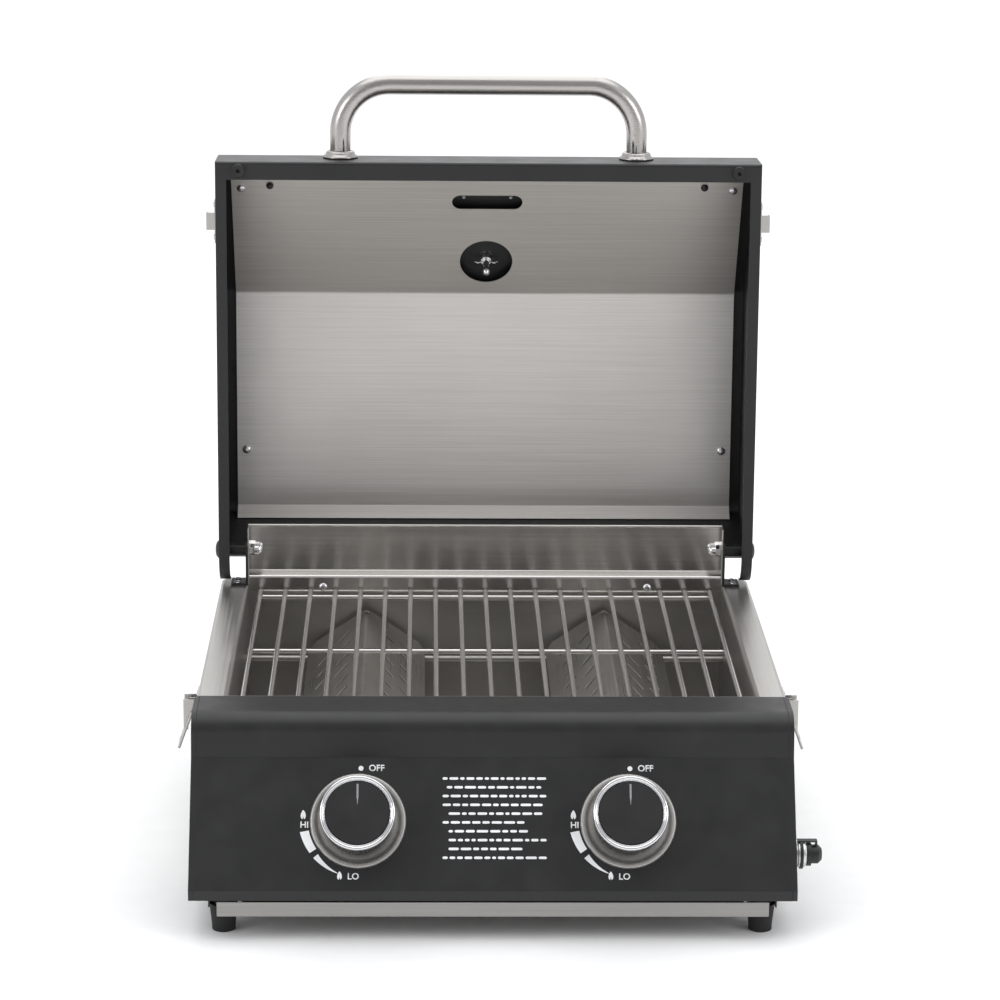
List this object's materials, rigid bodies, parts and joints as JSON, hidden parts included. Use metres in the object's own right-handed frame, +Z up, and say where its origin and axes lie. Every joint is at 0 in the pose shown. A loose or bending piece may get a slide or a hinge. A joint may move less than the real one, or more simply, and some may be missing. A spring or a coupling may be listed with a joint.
{
  "type": "folding camp grill",
  "caption": "Table-top gas barbecue for camping, with a hinged fold-down lid, rod grate, control knobs, draw latches and a pull-out drip tray.",
  "frame": {"origin": "on the table under the middle of the grill's overall box, lid open", "axes": "+Z up, -Y towards the cook and the control panel, +X to the cook's right, the gas inlet side"},
  "size_m": [0.5436, 0.6012, 0.654],
  "materials": {
    "satin_stainless": "brushed, satin",
    "polished_stainless": "bright rolled, reflective",
    "liner_stainless": "dull satin inner sheet",
    "black_coat": "satin black powder coat",
    "grate_steel": "drawn stainless rod",
    "chrome": "polished",
    "black_plastic": "fine moulded texture",
    "rubber": "matt",
    "brass": "turned",
    "zinc_screw": "zinc plated",
    "black_screw": "blackened steel",
    "dial_white": "printed dial face",
    "needle_red": "painted needle",
    "lens_glass": "clear",
    "ceramic": "glazed insulator",
    "union_silver": "plain silver band"
  },
  "bodies": {
    "firebox_body": {"firebox": "satin_stainless", "back_splash": "polished_stainless", "hinge_brackets": "black_coat", "hinge_bolts": "black_screw", "hinge_cap_nuts": "chrome", "hinge_spacers": "black_screw", "fascia_panel": "black_coat", "fascia_end_caps": "black_coat", "heat_shield": "satin_stainless", "knob_bezels": "satin_stainless", "valve_bodies": "brass", "gas_manifold": "brass", "inlet_union": "union_silver", "inlet_collar": "black_plastic", "burner_tubes": "liner_stainless", "burner_brackets": "satin_stainless", "flame_tamers": "liner_stainless", "tamer_bars": "satin_stainless", "grate_ledges": "satin_stainless", "cooking_grate": "grate_steel", "igniter_electrodes": "ceramic", "latch_bases": "satin_stainless", "latch_rivets": "zinc_screw", "base_rails": "black_coat", "rubber_feet": "rubber", "foot_screws": "zinc_screw", "tray_runners": "satin_stainless", "body_screws": "zinc_screw"},
    "lid": {"lid_skin": "black_coat", "lid_side_plates": "black_coat", "lid_liner": "liner_stainless", "lid_handle": "satin_stainless", "handle_collars": "polished_stainless", "handle_screws": "zinc_screw", "badge_plate": "satin_stainless", "thermometer_case": "satin_stainless", "thermometer_lens": "lens_glass", "thermometer_dial": "dial_white", "thermometer_stem": "chrome", "thermometer_wing_nut": "chrome", "lid_bumpers": "rubber", "lip_screws": "black_screw", "liner_screws": "zinc_screw", "latch_keepers": "satin_stainless", "keeper_rivets": "zinc_screw"},
    "thermometer_needle": {"thermometer_pointer": "needle_red"},
    "left_plug": {"left_valve_plug": "brass"},
    "left_knob": {"left_valve_stem": "chrome", "left_knob_grip": "black_plastic", "left_knob_ring": "chrome"},
    "right_plug": {"right_valve_plug": "brass"},
    "right_knob": {"right_valve_stem": "chrome", "right_knob_grip": "black_plastic", "right_knob_ring": "chrome"},
    "tray": {"drip_tray": "satin_stainless"},
    "left_lever": {"left_latch_lever": "satin_stainless"},
    "left_bail": {"left_latch_bail": "satin_stainless"},
    "right_lever": {"right_latch_lever": "satin_stainless"},
    "right_bail": {"right_latch_bail": "satin_stainless"},
    "gas_cap": {"inlet_cap": "black_plastic"}
  },
  "joints": [
    {"name": "lid_hinge", "type": "hinge", "parent": "firebox_body", "child": "lid", "pos_m": [0, 0.1785, 0.207], "axis": [1, 0, 0], "range_deg": [0, 92]},
    {"name": "thermometer_turn", "type": "hinge", "parent": "lid", "child": "thermometer_needle", "pos_m": [0, 0.27726, 0.47066], "axis": [0, -0.8829, -0.4695], "range_deg": [0, 270]},
    {"name": "left_knob_turn", "type": "hinge", "parent": "firebox_body", "child": "left_plug", "pos_m": [-0.112, -0.25219, 0.09392], "axis": [0, -0.8572, 0.515], "range_deg": [0, 180]},
    {"name": "left_knob_push", "type": "slide", "parent": "left_plug", "child": "left_knob", "axis": [0, 0.8572, -0.515], "range_m": [0, 0.003], "stiffness_N_per_m": 900, "springref_m": -0.004},
    {"name": "right_knob_turn", "type": "hinge", "parent": "firebox_body", "child": "right_plug", "pos_m": [0.112, -0.25219, 0.09392], "axis": [0, -0.8572, 0.515], "range_deg": [0, 180]},
    {"name": "right_knob_push", "type": "slide", "parent": "right_plug", "child": "right_knob", "axis": [0, 0.8572, -0.515], "range_m": [0, 0.003], "stiffness_N_per_m": 900, "springref_m": -0.004},
    {"name": "tray_slide", "type": "slide", "parent": "firebox_body", "child": "tray", "axis": [0, -1, 0], "range_m": [0, 0.25]},
    {"name": "left_lever_hinge", "type": "hinge", "parent": "firebox_body", "child": "left_lever", "pos_m": [-0.2572, -0.1365, 0.161], "axis": [0, 1, 0], "range_deg": [0, 120]},
    {"name": "left_bail_hinge", "type": "hinge", "parent": "left_lever", "child": "left_bail", "pos_m": [-0.2562, -0.1365, 0.152], "axis": [0, -1, 0], "range_deg": [-160, 0]},
    {"name": "right_lever_hinge", "type": "hinge", "parent": "firebox_body", "child": "right_lever", "pos_m": [0.2572, -0.1365, 0.161], "axis": [0, -1, 0], "range_deg": [0, 120]},
    {"name": "right_bail_hinge", "type": "hinge", "parent": "right_lever", "child": "right_bail", "pos_m": [0.2562, -0.1365, 0.152], "axis": [0, 1, 0], "range_deg": [-160, 0]},
    {"name": "cap_pull", "type": "slide", "parent": "firebox_body", "child": "gas_cap", "axis": [1, 0, 0], "range_m": [0, 0.0075]}
  ]
}
